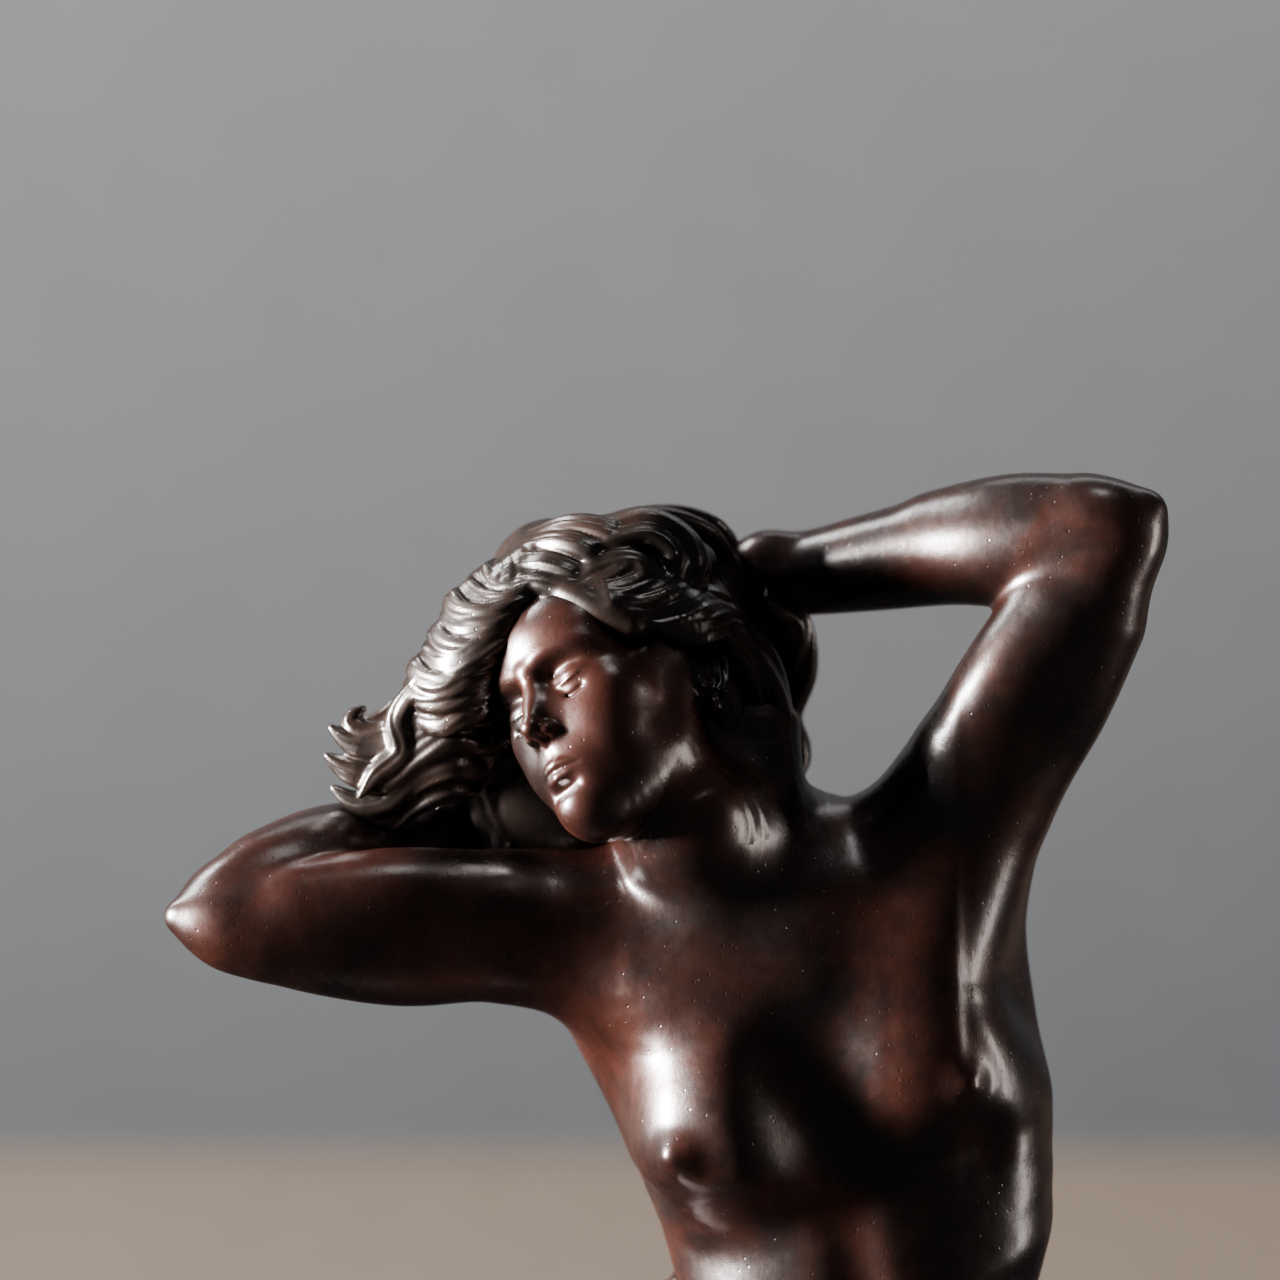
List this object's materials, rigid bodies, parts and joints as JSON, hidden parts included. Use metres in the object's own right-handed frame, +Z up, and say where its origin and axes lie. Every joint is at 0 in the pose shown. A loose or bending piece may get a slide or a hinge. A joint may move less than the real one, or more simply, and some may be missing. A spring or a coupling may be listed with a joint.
{
  "type": "bronze figure statuette",
  "caption": "Patinated bronze statuette of a draped standing woman with both arms raised and hands in her hair, on a turned black marble plinth.",
  "frame": {"origin": "middle of the felt pad's underside, on the tie rod's axis", "axes": "+Z up the figure; -Y towards the front, the side her chest faces; +X to the viewer's right, her left"},
  "size_m": [0.1646, 0.132, 0.3833],
  "materials": {
    "figure_bronze": "satin",
    "ground_bronze": "satin",
    "plinth_marble": "polished",
    "felt": "matte",
    "fastener_steel": "satin"
  },
  "bodies": {
    "root": {"head_casting": "figure_bronze", "torso_casting": "figure_bronze", "right_arm_casting": "figure_bronze", "left_arm_casting": "figure_bronze", "drapery_casting": "figure_bronze", "ground_casting": "ground_bronze", "plinth": "plinth_marble", "felt_pad": "felt", "tie_rod": "fastener_steel", "tie_rod_washer": "fastener_steel", "tie_rod_nut": "fastener_steel", "neck_pin": "figure_bronze", "right_shoulder_pin": "figure_bronze", "left_shoulder_pin": "figure_bronze", "waist_pin": "figure_bronze", "locating_pin_1": "fastener_steel", "locating_pin_2": "fastener_steel", "drapery_screw_1": "fastener_steel", "drapery_screw_2": "fastener_steel", "drapery_screw_3": "fastener_steel"}
  },
  "joints": []
}
